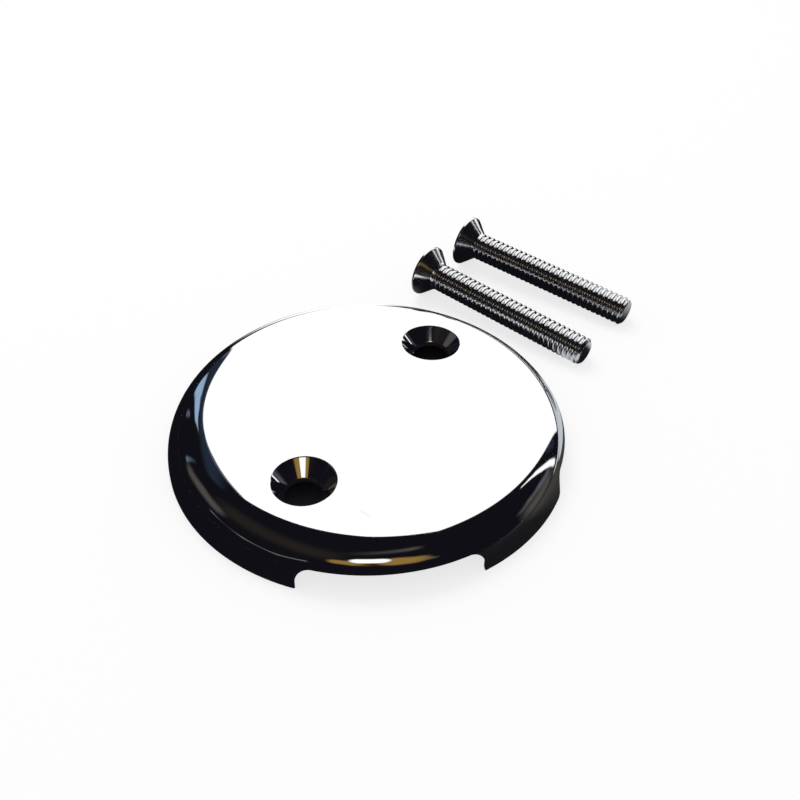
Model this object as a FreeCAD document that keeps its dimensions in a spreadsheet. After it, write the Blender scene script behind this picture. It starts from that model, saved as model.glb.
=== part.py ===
"""Two-hole bath overflow plate: a pressed, chrome-plated dished cover with its two fixing screws lying beside it.

The plate lies on its open rim. The origin is the plate's axis at the rim plane, +Z points out of the
wall that the plate covers, the two screw holes lie along X, and the notched side of the rim faces -Y.
All sizes are in millimetres and degrees.
"""
import FreeCAD, Part
import math
import os

import Sketcher

os.makedirs("parts", exist_ok=True)
doc = FreeCAD.newDocument("overflow_plate")
V = FreeCAD.Vector

# driving sizes
SIZES = [
    # plate: a dished cover pressed from sheet, open underneath
    ("plate_diameter", 79.4),
    ("plate_height", 10.0),
    ("flat_from_dimples", 5.675),
    ("crown_fall", 0.6),
    ("sheet_thickness", 1.0),
    ("skirt_height", 0.8),
    # two countersunk dimples for the screws
    ("hole_from_bullnose", 7.3),
    ("holes_below_middle", 1.0),
    ("hole_diameter", 7.2),
    ("dimple_diameter", 12.25),
    ("dimple_cone_angle", 82.0),
    ("dimple_lip_length", 1.0),
    ("dimple_mouth_radius", 0.3),
    # two notches in the rim that let the water in
    ("notch_width", 33.6),
    ("notch_depth", 4.8),
    ("notch_corner_radius", 3.0),
    ("first_notch_bearing", 218.0),
    ("notch_step_angle", 85.0),
    # raised countersunk screws with a cross recess
    ("screw_length", 43.4),
    ("thread_diameter", 6.2),
    ("tip_chamfer", 0.6),
    ("head_diameter", 11.6),
    ("head_cone_angle", 82.0),
    ("head_land", 0.45),
    ("head_crown_height", 1.3),
    ("neck_radius", 0.8),
    ("recess_span", 6.4),
    ("recess_slot_width", 1.7),
    ("recess_depth", 3.4),
    ("recess_floor_share", 0.42),
    # where the two screws lie
    ("front_screw_x", 51.7),
    ("front_screw_y", 15.4),
    ("front_screw_bearing", -98.6),
    ("rear_screw_x", 67.85),
    ("rear_screw_y", 13.45),
    ("rear_screw_bearing", -95.75),
]

sheet = doc.addObject("Spreadsheet::Sheet", "sizes")
for row, (alias, value) in enumerate(SIZES, start=1):
    sheet.set(f"A{row}", alias)
    sheet.set(f"B{row}", str(value))
    sheet.setAlias(f"B{row}", alias)
doc.recompute()

# how a sketch numbers the points of an edge, and its own axes and origin
START, END, CENTRE = range(1, 4)
H_AXIS, V_AXIS = range(-1, -3, -1)
ORIGIN_POINT = (H_AXIS, START)

LEAST_CUT = 1e-3  # mm3; a cut that takes off less has missed

# the bullnose takes up the height that the skirt and the crown leave, the holes stand inside it, and
# the flat middle ends clear of their dimples
BULLNOSE = "(sizes.plate_height - sizes.skirt_height - sizes.crown_fall)"
HOLE_OFFSET = f"(sizes.plate_diameter / 2 - {BULLNOSE} - sizes.hole_from_bullnose)"
FLAT_RADIUS = f"({HOLE_OFFSET} - sizes.dimple_diameter / 2 - sizes.flat_from_dimples)"


def new_body(name):
    """An empty body with its own label, which names its file."""
    body = doc.addObject("PartDesign::Body", name)
    body.Label = name
    return body


def new_sketch(body, name, plane_role):
    """A sketch laid flat on one of the body's own origin planes."""
    sketch = body.newObject("Sketcher::SketchObject", name)
    plane = next(f for f in body.Origin.OriginFeatures if f.Role == plane_role)
    sketch.AttachmentSupport = [(plane, "")]
    sketch.MapMode = "FlatFace"
    return sketch


def dimension(sketch, kind, name, formula, *where):
    """A named driving dimension that follows a formula on the sheet's sizes."""
    index = sketch.addConstraint(Sketcher.Constraint(kind, *where))
    sketch.renameConstraint(index, name)
    sketch.setExpression(f"Constraints.{name}", formula)
    return index


def line(sketch, start, end, construction=False):
    """A straight segment between two (x, y) places."""
    return sketch.addGeometry(Part.LineSegment(V(*start, 0), V(*end, 0)), construction)


def arc(sketch, centre, radius, first_deg, last_deg):
    """A circular arc, counterclockwise from the first angle to the last."""
    circle = Part.Circle(V(*centre, 0), V(0, 0, 1), radius)
    return sketch.addGeometry(Part.ArcOfCircle(circle, math.radians(first_deg), math.radians(last_deg)), False)


def polygon(sketch, points):
    """A closed chain of straight segments; returns their indices."""
    sides = [line(sketch, a, b) for a, b in zip(points, points[1:] + points[:1])]
    for side, following in zip(sides, sides[1:] + sides[:1]):
        sketch.addConstraint(Sketcher.Constraint("Coincident", side, END, following, START))
    return sides


def read(alias):
    """The present value of one size on the sheet."""
    return float(sheet.get(alias))


def bullnose_radius():
    """The bullnose's present outside radius."""
    return read("plate_height") - read("skirt_height") - read("crown_fall")


def hole_offset():
    """The present distance from the plate's axis to a hole's axis."""
    return read("plate_diameter") / 2 - bullnose_radius() - read("hole_from_bullnose")


def flat_radius():
    """The flat middle's present radius."""
    return hole_offset() - read("dimple_diameter") / 2 - read("flat_from_dimples")


def crown_slope():
    """The crown's present slope in degrees: it runs from the flat's end and touches the bullnose."""
    run = read("plate_diameter") / 2 - bullnose_radius() - flat_radius()
    climb = read("plate_height") - read("skirt_height")
    return math.degrees(math.atan2(climb, run) - math.asin(bullnose_radius() / math.hypot(run, climb)))


def plate_section(body):
    """Half section of the dished sheet, outside and inside alike.

    A short skirt, a bullnose arc, a shallow conical crown tangent to it, and a flat middle. The
    construction line reads the crown's height over the holes.
    """
    radius, height = read("plate_diameter") / 2, read("plate_height")
    wall, skirt, nose = read("sheet_thickness"), read("skirt_height"), bullnose_radius()
    flat = flat_radius()
    reach = radius - nose
    slope = crown_slope()
    hole = hole_offset()

    def touch(bend):
        """Where the crown touches a bullnose arc of this radius."""
        return reach + bend * math.sin(math.radians(slope)), skirt + bend * math.cos(math.radians(slope))

    sketch = new_sketch(body, "plate_section", "YZ_Plane")
    rim = line(sketch, (radius - wall, 0), (radius, 0))
    outer_skirt = line(sketch, (radius, 0), (radius, skirt))
    outer_nose = arc(sketch, (reach, skirt), nose, 0, 90 - slope)
    outer_crown = line(sketch, (flat, height), touch(nose))
    outer_flat = line(sketch, (flat, height), (0, height))
    axis_side = line(sketch, (0, height), (0, height - wall))
    inner_flat = line(sketch, (0, height - wall), (flat, height - wall))
    inner_crown = line(sketch, (flat, height - wall), touch(nose - wall))
    inner_nose = arc(sketch, (reach, skirt), nose - wall, 0, 90 - slope)
    inner_skirt = line(sketch, (radius - wall, skirt), (radius - wall, 0))
    over_hole = line(sketch, (hole, 0), (hole, height), True)
    sketch.addConstraint(
        [
            Sketcher.Constraint("Coincident", rim, END, outer_skirt, START),
            Sketcher.Constraint("Tangent", outer_skirt, END, outer_nose, START),
            Sketcher.Constraint("Tangent", outer_nose, END, outer_crown, END),
            Sketcher.Constraint("Coincident", outer_crown, START, outer_flat, START),
            Sketcher.Constraint("Coincident", outer_flat, END, axis_side, START),
            Sketcher.Constraint("Coincident", axis_side, END, inner_flat, START),
            Sketcher.Constraint("Coincident", inner_flat, END, inner_crown, START),
            Sketcher.Constraint("Tangent", inner_crown, END, inner_nose, END),
            Sketcher.Constraint("Tangent", inner_nose, START, inner_skirt, START),
            Sketcher.Constraint("Coincident", inner_skirt, END, rim, START),
            Sketcher.Constraint("Coincident", outer_nose, CENTRE, inner_nose, CENTRE),
            Sketcher.Constraint("PointOnObject", rim, START, H_AXIS),
            Sketcher.Constraint("Horizontal", rim),
            Sketcher.Constraint("Vertical", outer_skirt),
            Sketcher.Constraint("Vertical", inner_skirt),
            Sketcher.Constraint("Horizontal", outer_flat),
            Sketcher.Constraint("Horizontal", inner_flat),
            Sketcher.Constraint("PointOnObject", outer_flat, END, V_AXIS),
            Sketcher.Constraint("PointOnObject", inner_flat, START, V_AXIS),
            Sketcher.Constraint("Vertical", inner_crown, START, outer_crown, START),
            Sketcher.Constraint("PointOnObject", over_hole, START, H_AXIS),
            Sketcher.Constraint("Vertical", over_hole),
            Sketcher.Constraint("PointOnObject", over_hole, END, outer_crown),
        ]
    )
    dimension(sketch, "DistanceX", "rim_radius", "sizes.plate_diameter / 2", *ORIGIN_POINT, rim, END, radius)
    dimension(sketch, "DistanceX", "rim_wall", "sizes.sheet_thickness", rim, START, rim, END, wall)
    dimension(sketch, "DistanceY", "top_wall", "sizes.sheet_thickness", axis_side, END, axis_side, START, wall)
    dimension(sketch, "DistanceY", "skirt", "sizes.skirt_height", outer_skirt, START, outer_skirt, END, skirt)
    dimension(sketch, "Radius", "nose", BULLNOSE, outer_nose, nose)
    dimension(sketch, "DistanceY", "top", "sizes.plate_height", *ORIGIN_POINT, outer_crown, START, height)
    dimension(sketch, "DistanceX", "flat", FLAT_RADIUS, *ORIGIN_POINT, outer_crown, START, flat)
    dimension(sketch, "DistanceX", "hole_offset", HOLE_OFFSET, *ORIGIN_POINT, over_hole, START, hole)
    reading = sketch.addConstraint(Sketcher.Constraint("DistanceY", over_hole, START, over_hole, END, height))
    sketch.renameConstraint(reading, "crown_at_hole")
    sketch.setDriving(reading, False)
    return sketch


def revolve(body, sketch, kind, name, axis):
    """A full turn of a sketch about one of its own lines."""
    feature = body.newObject(kind, name)
    feature.Profile = sketch
    feature.ReferenceAxis = (sketch, [axis])
    feature.Angle = 360.0
    return feature


def turned_copy(body, feature, name, step_formula):
    """The same feature once more, turned about the plate's axis."""
    pair = body.newObject("PartDesign::PolarPattern", name)
    pair.Originals = [feature]
    axis = next(f for f in body.Origin.OriginFeatures if f.Role == "Z_Axis")
    pair.Axis = (axis, [""])
    pair.Occurrences = 2
    pair.Mode = "Spacing"
    pair.setExpression("Offset", step_formula)
    body.Tip = pair
    doc.recompute()
    return pair


def mirrored_copy(body, feature, name):
    """The same feature once more, across the plate's middle."""
    pair = body.newObject("PartDesign::Mirrored", name)
    pair.Originals = [feature]
    middle = next(f for f in body.Origin.OriginFeatures if f.Role == "YZ_Plane")
    pair.MirrorPlane = (middle, [""])
    body.Tip = pair
    doc.recompute()
    return pair


def cone_section(body, name, corners):
    """Half section of a turned form about the +X hole's axis, on the line of the holes.

    Each corner is (start radius, start height, radius formula, height formula), and the first and
    last corners lie on the hole's axis.
    """
    centre = hole_offset()
    sketch = new_sketch(body, name, "XZ_Plane")
    sketch.AttachmentOffset = FreeCAD.Placement(V(0, 0, read("holes_below_middle")), FreeCAD.Rotation())
    sketch.setExpression("AttachmentOffset.Base.z", "sizes.holes_below_middle")
    axis = line(sketch, (centre, 0), (centre, read("plate_height")), True)
    sketch.addConstraint(
        [
            Sketcher.Constraint("Vertical", axis),
            Sketcher.Constraint("PointOnObject", axis, START, H_AXIS),
        ]
    )
    dimension(sketch, "DistanceX", "offset", HOLE_OFFSET, *ORIGIN_POINT, axis, START, centre)
    dimension(
        sketch, "DistanceY", "axis_length", "sizes.plate_height", axis, START, axis, END, read("plate_height")
    )
    sides = polygon(sketch, [(centre + r, z) for r, z, _, _ in corners])
    for index, (side, (r, z, r_formula, z_formula)) in enumerate(zip(sides, corners)):
        if r_formula:
            dimension(sketch, "DistanceX", f"radius_{index}", r_formula, axis, START, side, START, r)
        else:
            sketch.addConstraint(Sketcher.Constraint("PointOnObject", side, START, axis))
        dimension(sketch, "DistanceY", f"height_{index}", z_formula, *ORIGIN_POINT, side, START, z)
    return sketch


def add_dimples(body):
    """Two formed dimples: a cone of sheet hanging under the crown, then the countersink and hole through it."""
    rim_z = "plate_section.Constraints.crown_at_hole / 1 mm"
    slope = "tan(sizes.dimple_cone_angle / 2 * 1 deg)"
    cosine = "cos(sizes.dimple_cone_angle / 2 * 1 deg)"
    lip_top = f"{rim_z} - (sizes.dimple_diameter - sizes.hole_diameter) / 2 / {slope}"
    lip_bottom = f"{lip_top} - sizes.dimple_lip_length"
    outside_at_lip = f"sizes.hole_diameter / 2 + sizes.sheet_thickness / {cosine}"
    mid_sheet = f"{rim_z} - sizes.sheet_thickness / 2"

    rise = math.tan(math.radians(read("dimple_cone_angle") / 2))
    wall = read("sheet_thickness")
    fall = math.tan(math.radians(crown_slope()))
    top = read("plate_height") - (hole_offset() - flat_radius()) * fall
    hole, mouth = read("hole_diameter") / 2, read("dimple_diameter") / 2
    lip = top - (mouth - hole) / rise
    base = lip - read("dimple_lip_length")
    skin = wall / math.cos(math.radians(read("dimple_cone_angle") / 2))
    cup = cone_section(
        body,
        "dimple_cup_section",
        [
            (0, base, None, lip_bottom),
            (
                hole + skin - (lip - base) * rise, base,
                f"{outside_at_lip} - sizes.dimple_lip_length * {slope}", lip_bottom,
            ),
            (
                hole + skin + (top - wall / 2 - lip) * rise, top - wall / 2,
                f"{outside_at_lip} + (sizes.dimple_diameter - sizes.hole_diameter) / 2"
                f" - sizes.sheet_thickness / 2 * {slope}", mid_sheet,
            ),
            (0, top - wall / 2, None, mid_sheet),
        ],
    )
    cup_form = revolve(body, cup, "PartDesign::Revolution", "dimple_cup", "Axis0")
    doc.recompute()
    mirrored_copy(body, cup_form, "dimple_cups")
    sink = cone_section(
        body,
        "countersink_section",
        [
            (0, base - wall, None, f"{lip_bottom} - sizes.sheet_thickness"),
            (hole, base - wall, "sizes.hole_diameter / 2", f"{lip_bottom} - sizes.sheet_thickness"),
            (hole, lip, "sizes.hole_diameter / 2", lip_top),
            (
                mouth + wall * rise, top + wall,
                f"sizes.dimple_diameter / 2 + sizes.sheet_thickness * {slope}",
                f"{rim_z} + sizes.sheet_thickness",
            ),
            (0, top + wall, None, f"{rim_z} + sizes.sheet_thickness"),
        ],
    )
    sink_cut = revolve(body, sink, "PartDesign::Groove", "countersink", "Axis0")
    doc.recompute()
    return mirrored_copy(body, sink_cut, "countersinks")


def mouth_edges(shape):
    """Names of the edges where the countersinks break the crown: the topmost edges around each hole."""
    offset, below = hole_offset(), -read("holes_below_middle")
    reach = read("dimple_diameter") / 2 + read("sheet_thickness")
    under_the_skin = read("plate_height") - read("sheet_thickness")
    names = []
    for index, edge in enumerate(shape.Edges, start=1):
        box = edge.BoundBox
        side = math.copysign(offset, box.Center.x)
        away = (box.XMin - side, box.XMax - side, box.YMin - below, box.YMax - below)
        near_a_hole = max(abs(gap) for gap in away) < reach
        if near_a_hole and box.ZMin > under_the_skin:
            names.append(f"Edge{index}")
    return names


def round_mouths(body, base):
    """A small rolled radius where each dimple leaves the crown."""
    rolled = body.newObject("PartDesign::Fillet", "dimple_mouths")
    rolled.Base = (base, mouth_edges(base.Shape))
    rolled.setExpression("Radius", "sizes.dimple_mouth_radius")
    doc.recompute()
    return rolled


def add_notches(body):
    """Two wide notches with rounded upper corners, punched straight out through the skirt."""
    half, depth, corner = read("notch_width") / 2, read("notch_depth"), read("notch_corner_radius")
    below = -read("sheet_thickness")
    sketch = new_sketch(body, "notch_outline", "XZ_Plane")
    bottom = line(sketch, (-half, below), (half, below))
    right = line(sketch, (half, below), (half, depth - corner))
    right_corner = arc(sketch, (half - corner, depth - corner), corner, 0, 90)
    top = line(sketch, (half - corner, depth), (corner - half, depth))
    left_corner = arc(sketch, (corner - half, depth - corner), corner, 90, 180)
    left = line(sketch, (-half, depth - corner), (-half, below))
    sketch.addConstraint(
        [
            Sketcher.Constraint("Coincident", bottom, END, right, START),
            Sketcher.Constraint("Tangent", right, END, right_corner, START),
            Sketcher.Constraint("Tangent", right_corner, END, top, START),
            Sketcher.Constraint("Tangent", top, END, left_corner, START),
            Sketcher.Constraint("Tangent", left_corner, END, left, START),
            Sketcher.Constraint("Coincident", left, END, bottom, START),
            Sketcher.Constraint("Horizontal", top),
            Sketcher.Constraint("Vertical", right),
            Sketcher.Constraint("Vertical", left),
            Sketcher.Constraint("Equal", right_corner, left_corner),
            Sketcher.Constraint("Symmetric", bottom, START, bottom, END, V_AXIS),
        ]
    )
    dimension(sketch, "DistanceX", "width", "sizes.notch_width", bottom, START, bottom, END, 2 * half)
    dimension(sketch, "DistanceY", "depth", "sizes.notch_depth", *ORIGIN_POINT, top, START, depth)
    dimension(sketch, "DistanceY", "below", "sizes.sheet_thickness", bottom, START, *ORIGIN_POINT, -below)
    dimension(sketch, "Radius", "corner", "sizes.notch_corner_radius", right_corner, corner)
    # the plane through the axis faces bearing 270, and turns about the axis until it faces the notch
    turn = FreeCAD.Rotation(V(0, 1, 0), read("first_notch_bearing") - 270)
    sketch.AttachmentOffset = FreeCAD.Placement(V(0, 0, 0), turn)
    sketch.setExpression("AttachmentOffset.Rotation.Angle", "sizes.first_notch_bearing - 270")
    notch = body.newObject("PartDesign::Pocket", "first_notch")
    notch.Profile = sketch
    notch.Type = "ThroughAll"
    notch.Reversed = True
    doc.recompute()
    return turned_copy(body, notch, "notches", "sizes.notch_step_angle")


def make_plate():
    """The dished plate with its dimples, their rolled mouths and the rim notches."""
    body = new_body("face_plate")
    section = plate_section(body)
    doc.recompute()
    dish = revolve(body, section, "PartDesign::Revolution", "dish", "V_Axis")
    doc.recompute()
    plain_volume = dish.Shape.Volume
    dimpled = add_dimples(body)
    rolled = round_mouths(body, dimpled)
    notched = add_notches(body)
    for before, after, what in (
        (dimpled, rolled, "rolled mouths"),
        (rolled, notched, "notches"),
    ):
        if not after.Shape.Volume < before.Shape.Volume - LEAST_CUT:
            raise RuntimeError(f"the {what} cut nothing")
    print(f"plate volume: dish {plain_volume:.1f}, finished {notched.Shape.Volume:.1f} mm3")
    return body


def screw_section(body):
    """Half section of the screw along +X, with the head's widest plane at the start.

    The oval crown bulges to -X. Behind the land come the cone, the neck's fillet, the threaded
    shank at its outside diameter, and the bevelled tip.
    """
    head, shank, length = read("head_diameter") / 2, read("thread_diameter") / 2, read("screw_length")
    land, bevel, neck = read("head_land"), read("tip_chamfer"), read("neck_radius")
    half = math.radians(read("head_cone_angle") / 2)
    crown = read("head_crown_height")
    ball = (head**2 + crown**2) / (2 * crown)
    spread = math.degrees(math.asin(head / ball))
    neck_run = neck * math.tan(half / 2)
    cone_end = land + (head - shank) / math.tan(half)
    sketch = new_sketch(body, f"{body.Name}_section", "XY_Plane")
    oval = arc(sketch, (ball - crown, 0), ball, 180 - spread, 180)
    rim = line(sketch, (0, head), (land, head))
    neck_start = (cone_end - neck_run * math.cos(half), shank + neck_run * math.sin(half))
    cone = line(sketch, (land, head), neck_start)
    fillet = arc(sketch, (cone_end + neck_run, shank + neck), neck, 270 - math.degrees(half), 270)
    flank = line(sketch, (cone_end + neck_run, shank), (length - bevel, shank))
    tip_bevel = line(sketch, (length - bevel, shank), (length, shank - bevel))
    tip = line(sketch, (length, shank - bevel), (length, 0))
    core = line(sketch, (length, 0), (-crown, 0))
    sketch.addConstraint(
        [
            Sketcher.Constraint("Coincident", oval, START, rim, START),
            Sketcher.Constraint("Coincident", rim, END, cone, START),
            Sketcher.Constraint("Tangent", cone, END, fillet, START),
            Sketcher.Constraint("Tangent", fillet, END, flank, START),
            Sketcher.Constraint("Coincident", flank, END, tip_bevel, START),
            Sketcher.Constraint("Coincident", tip_bevel, END, tip, START),
            Sketcher.Constraint("Coincident", tip, END, core, START),
            Sketcher.Constraint("Coincident", core, END, oval, END),
            Sketcher.Constraint("PointOnObject", oval, CENTRE, H_AXIS),
            Sketcher.Constraint("PointOnObject", core, START, H_AXIS),
            Sketcher.Constraint("PointOnObject", core, END, H_AXIS),
            Sketcher.Constraint("PointOnObject", rim, START, V_AXIS),
            Sketcher.Constraint("Horizontal", rim),
            Sketcher.Constraint("Horizontal", flank),
            Sketcher.Constraint("Vertical", tip),
        ]
    )
    dimension(sketch, "DistanceY", "head_radius", "sizes.head_diameter / 2", *ORIGIN_POINT, rim, START, head)
    dimension(sketch, "DistanceX", "land", "sizes.head_land", rim, START, rim, END, land)
    dimension(sketch, "DistanceX", "crown", "sizes.head_crown_height", core, END, *ORIGIN_POINT, crown)
    dimension(sketch, "Angle", "cone_slope", "-sizes.head_cone_angle / 2 * 1 deg", cone, -half)
    dimension(sketch, "Radius", "neck", "sizes.neck_radius", fillet, neck)
    shank_formula = "sizes.thread_diameter / 2"
    dimension(sketch, "DistanceY", "shank_radius", shank_formula, *ORIGIN_POINT, flank, END, shank)
    dimension(sketch, "DistanceX", "length", "sizes.screw_length", *ORIGIN_POINT, tip, END, length)
    dimension(sketch, "DistanceX", "bevel_run", "sizes.tip_chamfer", tip_bevel, START, tip_bevel, END, bevel)
    dimension(sketch, "DistanceY", "bevel_drop", "sizes.tip_chamfer", tip_bevel, END, tip_bevel, START, bevel)
    return sketch


def cross_outline(body, name, depth_formula, share_formula, share):
    """A plus-shaped outline across the screw's axis, so far behind the head's widest plane."""
    arm = read("recess_span") / 2 * share
    slot = read("recess_slot_width") / 2 * share
    corners = [
        (arm, -slot), (arm, slot), (slot, slot), (slot, arm), (-slot, arm), (-slot, slot),
        (-arm, slot), (-arm, -slot), (-slot, -slot), (-slot, -arm), (slot, -arm), (slot, -slot),
    ]
    sketch = new_sketch(body, name, "YZ_Plane")
    sides = polygon(sketch, corners)
    for index, side in enumerate(sides):
        direction = "Vertical" if index % 2 == 0 else "Horizontal"
        sketch.addConstraint(Sketcher.Constraint(direction, side))
    for first, second in ((0, 3), (0, 6), (3, 9)):
        sketch.addConstraint(Sketcher.Constraint("Equal", sides[first], sides[second]))
    for first, second in ((0, 6), (3, 9)):
        sketch.addConstraint(
            Sketcher.Constraint("Symmetric", sides[first], START, sides[second], START, *ORIGIN_POINT)
        )
    arm_formula = f"sizes.recess_span / 2 * {share_formula}"
    slot_formula = f"sizes.recess_slot_width / 2 * {share_formula}"
    dimension(sketch, "DistanceX", "arm_x", arm_formula, *ORIGIN_POINT, sides[0], START, arm)
    dimension(sketch, "DistanceY", "arm_y", arm_formula, *ORIGIN_POINT, sides[3], START, arm)
    dimension(sketch, "DistanceX", "slot_x", slot_formula, *ORIGIN_POINT, sides[3], START, slot)
    dimension(sketch, "DistanceY", "slot_y", slot_formula, *ORIGIN_POINT, sides[0], END, slot)
    dimension(sketch, "DistanceY", "slot", f"2 * {slot_formula}", sides[0], START, sides[0], END, 2 * slot)
    sketch.AttachmentOffset = FreeCAD.Placement(V(0, 0, 1), FreeCAD.Rotation())
    sketch.setExpression("AttachmentOffset.Base.z", depth_formula)
    return sketch


def make_screw(name):
    """One raised countersunk screw, laid down on its head's edge and its tip."""
    body = new_body(name)
    section = screw_section(body)
    doc.recompute()
    turned = revolve(body, section, "PartDesign::Revolution", f"{name}_turned", "H_Axis")
    doc.recompute()
    mouth = cross_outline(body, f"{name}_recess_mouth", "-sizes.head_crown_height", "1", 1.0)
    floor = cross_outline(
        body, f"{name}_recess_floor", "sizes.recess_depth - sizes.head_crown_height",
        "sizes.recess_floor_share", read("recess_floor_share"),
    )
    doc.recompute()
    recess = body.newObject("PartDesign::SubtractiveLoft", f"{name}_recess")
    recess.Profile = mouth
    recess.Sections = [floor]
    recess.Ruled = True
    doc.recompute()
    if not recess.Shape.Volume < turned.Shape.Volume - LEAST_CUT:
        raise RuntimeError(f"{name}: the recess cut nothing")
    # the screw tilts by the difference between the head's and the tip's radius over its length
    drop = "(sizes.head_diameter - sizes.thread_diameter) / 2"
    run = "(sizes.screw_length - sizes.tip_chamfer - sizes.head_land)"
    tilt = f"atan({drop} / {run})"
    lift = f"sizes.head_land * sin({tilt}) + sizes.head_diameter / 2 * cos({tilt})"
    place = f"create(<<vector>>; sizes.{name}_x; sizes.{name}_y; {lift})"
    turn = f"create(<<rotation>>; sizes.{name}_bearing * 1 deg; {tilt}; 0 deg)"
    body.setExpression("Placement", f"create(<<placement>>; {place}; {turn})")
    doc.recompute()
    return body


bodies = [
    make_plate(),
    make_screw("front_screw"),
    make_screw("rear_screw"),
]
doc.recompute()

for item in doc.Objects:
    if {"Invalid", "Error"} & set(item.State):
        raise RuntimeError(f"{item.Label} failed: {item.State}")
for body in bodies:
    shape = body.Shape
    if shape.isNull() or not shape.isValid() or len(shape.Solids) != 1:
        raise RuntimeError(f"{body.Label} is not one valid solid")
    shape.exportStep(f"parts/{body.Label}.step")
    box = shape.BoundBox
    print(f"{body.Label}: {shape.Volume:.1f} mm3, x {box.XMin:.2f}..{box.XMax:.2f}, "
          f"y {box.YMin:.2f}..{box.YMax:.2f}, z {box.ZMin:.3f}..{box.ZMax:.2f}")
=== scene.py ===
"""A chrome two-hole bath overflow plate with its two screws lying beside it, on a pale studio table."""
import math

import bpy
import numpy as np
from mathutils import Matrix, Vector


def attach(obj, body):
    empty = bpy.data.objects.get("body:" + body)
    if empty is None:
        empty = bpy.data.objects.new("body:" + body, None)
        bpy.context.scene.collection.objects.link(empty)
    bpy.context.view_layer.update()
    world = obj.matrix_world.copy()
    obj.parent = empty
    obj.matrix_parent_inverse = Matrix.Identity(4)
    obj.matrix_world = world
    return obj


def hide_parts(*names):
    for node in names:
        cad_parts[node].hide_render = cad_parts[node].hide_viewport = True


MM = 0.001

# the plate's pressed sheet, in millimetres
NOSE_CENTRE = 31.1
SKIRT = 0.8
OUTER_NOSE = 8.6
INNER_NOSE = 7.6
FLAT_RADIUS = 12.0
TOP = 10.0
WALL = 1.0
CROWN_FALL = 0.6
EDGE_ROLL = 0.15

# the two dimples
HOLE_OFFSET = 23.8
HOLE_Y = -1.0
HOLE_RADIUS = 3.6
MOUTH_RADIUS = 6.125
DIMPLE_SLOPE = 1 / math.tan(math.radians(41))
LIP_LENGTH = 1.0
CONE_SKIN = WALL / math.cos(math.radians(41))

# the two notches in the rim
NOTCH_BEARINGS = (218.0, 303.0)
NOTCH_HALF = 16.8
NOTCH_DEPTH = 4.8
NOTCH_CORNER = 3.0
NOTCH_FOOT = 0.4
FAN_REACH = 20.0

# the screws
HEAD_RADIUS = 5.8
HEAD_LAND = 0.45
HEAD_CROWN = 1.3
SCREW_LENGTH = 43.4
CREST_RADIUS = 3.1
ROOT_RADIUS = 2.52
PITCH = 1.27
TIP_BEVEL = 0.6
RECESS_REACH = 3.2
RECESS_HALF_SLOT = 0.85
RECESS_DEPTH = 3.4
RECESS_FLOOR_SHARE = 0.42

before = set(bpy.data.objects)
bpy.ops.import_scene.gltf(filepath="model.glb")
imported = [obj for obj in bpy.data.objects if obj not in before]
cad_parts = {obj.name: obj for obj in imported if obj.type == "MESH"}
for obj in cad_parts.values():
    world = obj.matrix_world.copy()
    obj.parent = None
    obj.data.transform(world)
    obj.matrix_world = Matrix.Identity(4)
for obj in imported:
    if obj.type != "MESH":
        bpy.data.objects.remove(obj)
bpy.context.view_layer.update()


# ---------------------------------------------------------------- meshes


def grid_faces(rows, columns):
    """Triangles of a grid whose columns run round and meet, two for each cell, row after row."""
    row, column = np.meshgrid(np.arange(rows - 1), np.arange(columns), indexing="ij")
    here = row * columns + column
    beside = row * columns + (column + 1) % columns
    low = np.stack([here, beside, beside + columns], axis=-1)
    high = np.stack([here, beside + columns, here + columns], axis=-1)
    return np.stack([low, high], axis=2).reshape(-1, 3)


def joined(parts):
    """One list of points, normals and triangles from several, the triangles' numbers counting on."""
    starts = np.cumsum([0] + [len(points) for points, _, _ in parts[:-1]])
    points = np.concatenate([p for p, _, _ in parts])
    normals = np.concatenate([n for _, n, _ in parts])
    faces = np.concatenate([f + start for (_, _, f), start in zip(parts, starts)])
    return points, normals, faces


def welded(points, normals, faces):
    """Makes points that meet into one, and drops the triangles that this flattens.

    Points meet when their places, rounded to 0.1 micrometres, are the same.
    """
    place = np.floor(points * 1e4 + 0.37).astype(np.int64)
    _, first, same = np.unique(place, axis=0, return_index=True, return_inverse=True)
    faces = same.reshape(-1)[faces]
    a, b, c = faces.T
    return points[first], normals[first], faces[(a != b) & (b != c) & (c != a)]


def filled_normals(points, normals, faces):
    """Keeps the worked-out normals. Where there is none, sums the area vectors of the triangles round it."""
    a, b, c = (points[faces[:, i]] for i in range(3))
    area = np.cross(b - a, c - a)
    summed = np.zeros_like(points)
    for corner in range(3):
        np.add.at(summed, faces[:, corner], area)
    summed /= np.maximum(np.linalg.norm(summed, axis=1, keepdims=True), 1e-12)
    return np.where(np.isnan(normals), summed, normals)


def outward(points, faces):
    """Turns every triangle over if the closed shape's volume, summed from the origin, comes out negative."""
    a, b, c = (points[faces[:, i]] for i in range(3))
    volume = np.einsum("ij,ij->i", a, np.cross(b, c)).sum() / 6
    return faces if volume > 0 else faces[:, ::-1]


def make_piece(name, parts, node):
    """A smooth closed piece from surfaces in millimetres, standing for a CAD node and riding with it."""
    points, normals, faces = welded(*joined(parts))
    faces = outward(points, faces)
    normals = filled_normals(points, normals, faces)
    mesh = bpy.data.meshes.new(name)
    mesh.vertices.add(len(points))
    mesh.vertices.foreach_set("co", (points * MM).astype(np.float32).ravel())
    mesh.loops.add(faces.size)
    mesh.loops.foreach_set("vertex_index", faces.astype(np.int32).ravel())
    mesh.polygons.add(len(faces))
    mesh.polygons.foreach_set("loop_start", np.arange(0, faces.size, 3, dtype=np.int32))
    mesh.polygons.foreach_set("use_smooth", np.ones(len(faces), dtype=bool))
    mesh.update(calc_edges=True)
    mesh.normals_split_custom_set_from_vertices(normals)
    piece = bpy.data.objects.new(name, mesh)
    bpy.context.scene.collection.objects.link(piece)
    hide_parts(node)
    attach(piece, "root")
    return piece


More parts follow.
